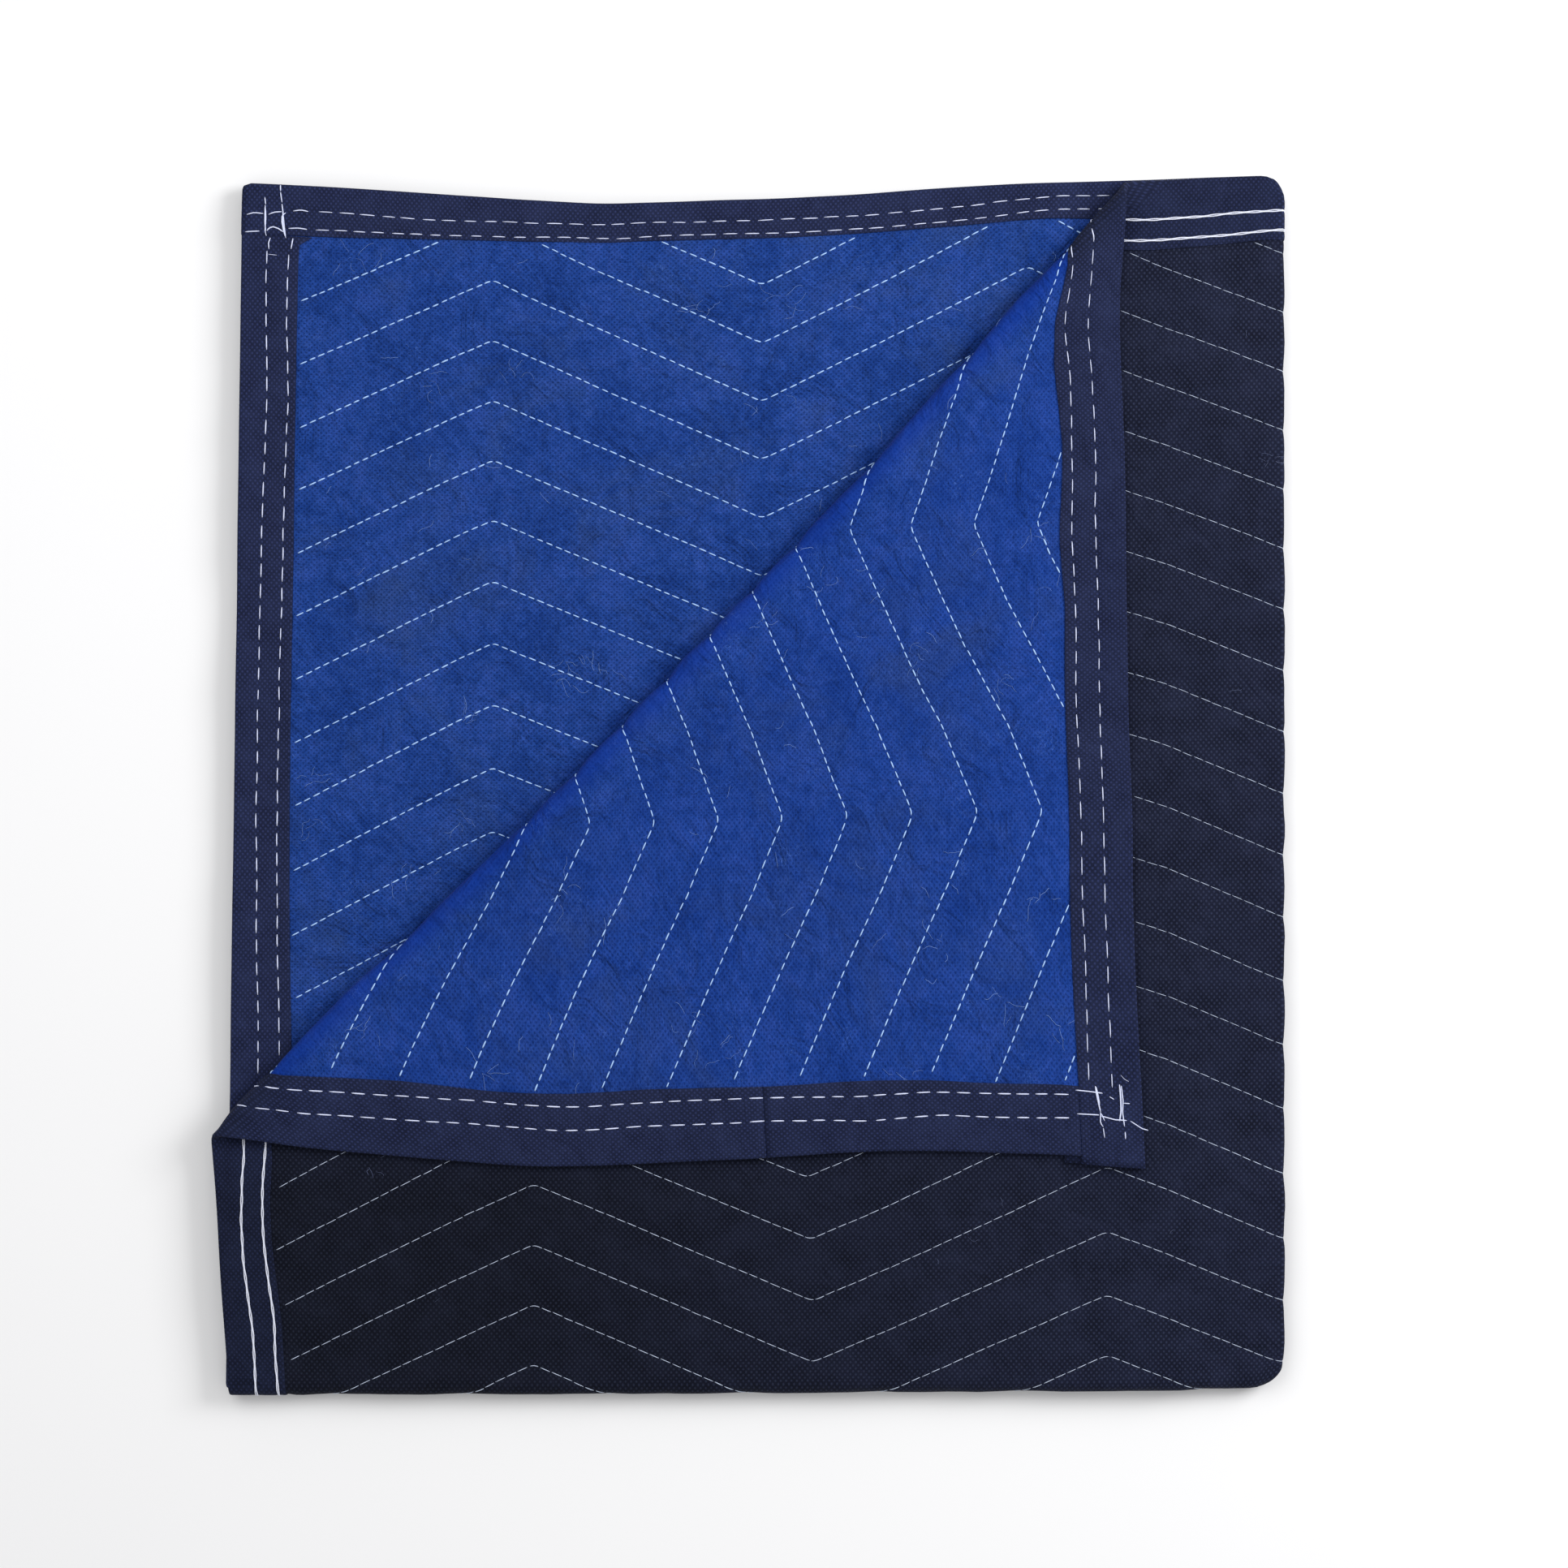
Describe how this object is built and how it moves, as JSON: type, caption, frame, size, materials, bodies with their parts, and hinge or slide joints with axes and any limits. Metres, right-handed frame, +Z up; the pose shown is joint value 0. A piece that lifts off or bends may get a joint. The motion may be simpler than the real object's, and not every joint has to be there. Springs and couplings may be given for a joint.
{
  "type": "quilted moving blanket",
  "caption": "Quilted moving blanket with a blue face, a navy back and a bound edge, folded into a flat pad with its free corner turned back.",
  "frame": {"origin": "centre of the folded blanket's outline, on the surface that it lies on", "axes": "+Z up through the folded layers, +Y away from the under fold and towards the open edges, +X towards the side fold"},
  "size_m": [0.9112, 1.0342, 0.0368],
  "materials": {
    "blue_face": "matt needled felt",
    "navy_back": "matt embossed nonwoven",
    "navy_binding": "matt nonwoven tape"
  },
  "bodies": {
    "root": {"face_panel": "blue_face", "back_panel": "navy_back", "binding_top": "navy_binding", "binding_bottom": "navy_binding", "binding_left": "navy_binding", "binding_right_upper": "navy_binding", "binding_right_lower": "navy_binding"}
  },
  "joints": []
}
